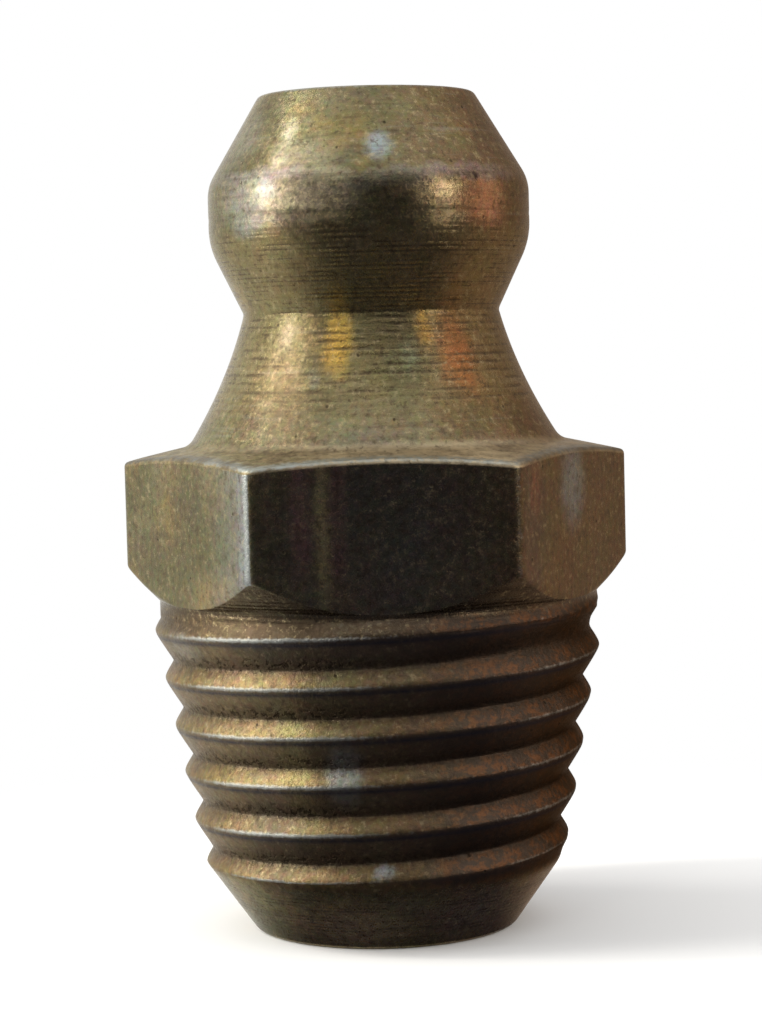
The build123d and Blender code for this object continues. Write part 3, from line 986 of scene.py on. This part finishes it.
studio = {
    "middle": 8.5,           # mm, height that the lamps point at
    "skyForMatt": 0.9,       # strength of the white surround for matt surfaces
    "floorColour": (0.86, 0.86, 0.86, 1),
    "floorReach": 400,
    "floorFade": (6, 20),    # mm from the axis: from plain floor to white
    "ringSteps": (12, 72),   # across a flat ring and round it
    # degrees right of the front, degrees up, width and height in mm, brightness, colour
    "lamps": [
        ("softLeft", -83, 29, 48, 260, 12.0, (1.0, 0.98, 0.93)),
        ("softFrontLeft", -28, 28, 9, 150, 5.0, (1.0, 0.95, 0.82)),
        ("softFrontRight", 53, 26, 16, 190, 7.0, (1.0, 0.96, 0.88)),
        ("softRight", 90, 22, 40, 180, 3.4, (1.0, 0.90, 0.78)),
        ("softFarLeft", -106, 32, 70, 190, 4.6, (1.0, 0.98, 0.93)),
        ("highLeft", -88, 43, 14, 60, 34.0, (1.0, 0.98, 0.90)),
        ("lowLeft", -80, 10, 14, 46, 42.0, (1.0, 0.98, 0.94)),
        ("lowRight", 54, 10, 12, 40, 24.0, (1.0, 0.94, 0.84)),
    ],
    "lampReach": 250,
    # dark card round the front, seen only in the metal; degrees right of the front and degrees up
    "cardReach": 180,
    "cardSpan": (-120, 170),
    "cardDark": (0.049, 0.045, 0.058, 1),
    "cardLeft": (-30, -98),
    "cardLeftGlow": (0.95, 0.95, 0.93, 1),
    "cardRight": (45, 100),
    "cardRightGlow": (0.40, 0.32, 0.26, 1),
    "cardTop": (22, 62),
    "cardSteps": (80, 24),
    "matInner": 2.72,        # the same card on the floor, from here out
    "matHeight": 0.05,
}


def stageSheet(name, grid, material):
    # a skin that isn't part of the nipple
    sheet = skinGrids(name, [grid], {})
    sheet.data.materials.append(material)
    return sheet


def seenStraight(f):
    # 1 for a ray from the camera, off gloss or through glass, 0 for the light on matt surfaces
    rays = f.add("ShaderNodeLightPath").outputs
    return f.most(rays["Is Camera Ray"], rays["Is Glossy Ray"], rays["Is Transmission Ray"])


def floorFinish():
    # pale matt floor near the nipple, fading into the white surround; white in reflections too
    f = Finish(bpy.data.materials.new("paleFloor"))
    flat = f.add("ShaderNodeBsdfDiffuse", Color=studio["floorColour"]).outputs[0]
    glow = f.add("ShaderNodeEmission", Strength=1.0).outputs[0]
    away = f.add("ShaderNodeVectorMath", {"operation": "LENGTH"}, Vector=f.millimetres())
    white = f.times(f.level(away.outputs["Value"], *studio["floorFade"]), seenStraight(f))
    both = f.add("ShaderNodeMixShader")
    for socket, value in zip(both.inputs, (white, flat, glow)):
        f.feed(socket, value)
    f.owner.cycles.emission_sampling = "NONE"
    return f.close(both.outputs[0])


def darkCardFinish():
    # glow that is dark at the front and lightens by steps round to the left, the right and the top
    f = Finish(bpy.data.materials.new("darkCard"))
    x, y, z = f.add("ShaderNodeSeparateXYZ", Vector=f.millimetres()).outputs
    turn = f.calc("ARCTAN2", x, f.times(y, -1.0))
    reach = f.calc("SQRT", f.calc("ADD", f.times(x, x), f.times(y, y)))
    rise = f.calc("ARCTAN2", z, reach)
    glow = studio["cardDark"]
    for way, span, colour in ((turn, "cardRight", studio["cardRightGlow"]),
                              (turn, "cardLeft", studio["cardLeftGlow"]), (rise, "cardTop", (1, 1, 1, 1))):
        glow = f.blend(f.level(way, *np.radians(studio[span]).tolist()), glow, colour)
    f.owner.cycles.emission_sampling = "NONE"
    return f.close(f.add("ShaderNodeEmission", Color=glow, Strength=1.0).outputs[0])


def whiteSurround():
    # white where it is seen, a little weaker where it lights matt surfaces
    f = Finish(bpy.data.worlds.new("whiteSurround"))
    weak = studio["skyForMatt"]
    strength = f.calc("MULTIPLY_ADD", seenStraight(f), 1 - weak, weak)
    sky = f.add("ShaderNodeBackground", Color=(1, 1, 1, 1), Strength=strength)
    f.owner.cycles.sampling_method = "NONE"
    return f.close(sky.outputs[0], "ShaderNodeOutputWorld")


def onlyInReflections(sheet):
    # the sheet shows in metal and nowhere else, and throws no shadow
    sheet.visible_camera = False
    sheet.visible_diffuse = False
    sheet.visible_transmission = False
    sheet.visible_shadow = False


def ringSheet(inner, outer, low, high, height):
    # flat ring between two radii, over a range of angles from -Y
    across, around = studio["ringSteps"]
    turns = np.radians(np.linspace(low, high, around))
    reach, turn = np.meshgrid(np.linspace(inner, outer, across), turns)
    return reach * np.sin(turn), -reach * np.cos(turn), np.full_like(reach, height)


def cardSheet():
    # part of a ball round the foot of the axis, from the floor up
    around, up = studio["cardSteps"]
    turn, rise = np.meshgrid(np.radians(np.linspace(*studio["cardSpan"], around)),
                             np.radians(np.linspace(0, studio["cardTop"][1], up)))
    reach = studio["cardReach"]
    level = reach * np.cos(rise)
    return level * np.sin(turn), -level * np.cos(turn), reach * np.sin(rise)


stageSheet("floor", ringSheet(0, studio["floorReach"], -180, 180, 0), floorFinish())
darkCard = darkCardFinish()
onlyInReflections(stageSheet("frontCard", cardSheet(), darkCard))
mat = ringSheet(studio["matInner"], studio["cardReach"], *studio["cardSpan"], studio["matHeight"])
onlyInReflections(stageSheet("frontMat", mat, darkCard))

for name, side, up, width, tall, brightness, colour in studio["lamps"]:
    lamp = bpy.data.lights.new(name, "AREA")
    lamp.shape = "RECTANGLE"
    lamp.size = width * mm
    lamp.size_y = tall * mm
    lamp.color = colour
    lamp.energy = brightness * pi * lamp.size * lamp.size_y   # as matt: brightness times pi times area
    level = cos(radians(up))
    way = Vector((sin(radians(side)) * level, -cos(radians(side)) * level, sin(radians(up))))
    holder = bpy.data.objects.new(name, lamp)
    holder.location = Vector((0, 0, studio["middle"] * mm)) + way * studio["lampReach"] * mm
    holder.rotation_euler = way.to_track_quat("Z", "Y").to_euler()
    bpy.context.scene.collection.objects.link(holder)

bpy.context.scene.world = whiteSurround()
print("studio lit")


# camera

view = {
    "imageHeight": 1024,     # px
    "focal": 2648,           # px
    "distance": 54.0,        # mm
    "height": 12.178,
    "aside": 0.095,
    "yaw": 1.958,            # degrees, to the left of the front
    "pitch": 3.968,          # downwards
    "roll": 1.463,
    "sensor": 36.0,
}

camera = bpy.data.cameras.new("camera")
camera.sensor_width = view["sensor"]
camera.lens = view["focal"] * view["sensor"] / view["imageHeight"]
camera.clip_start = 1 * mm
cameraHolder = bpy.data.objects.new("camera", camera)
stand = Matrix.Rotation(radians(-view["yaw"]), 4, "Z") @ Matrix.Translation(
    Vector((view["aside"], -view["distance"], view["height"])) * mm)
aim = Matrix.Rotation(radians(90 - view["pitch"]), 4, "X") @ Matrix.Rotation(radians(-view["roll"]), 4, "Z")
cameraHolder.matrix_world = stand @ aim
bpy.context.scene.collection.objects.link(cameraHolder)
bpy.context.scene.camera = cameraHolder
bpy.context.scene.view_settings.view_transform = "Standard"
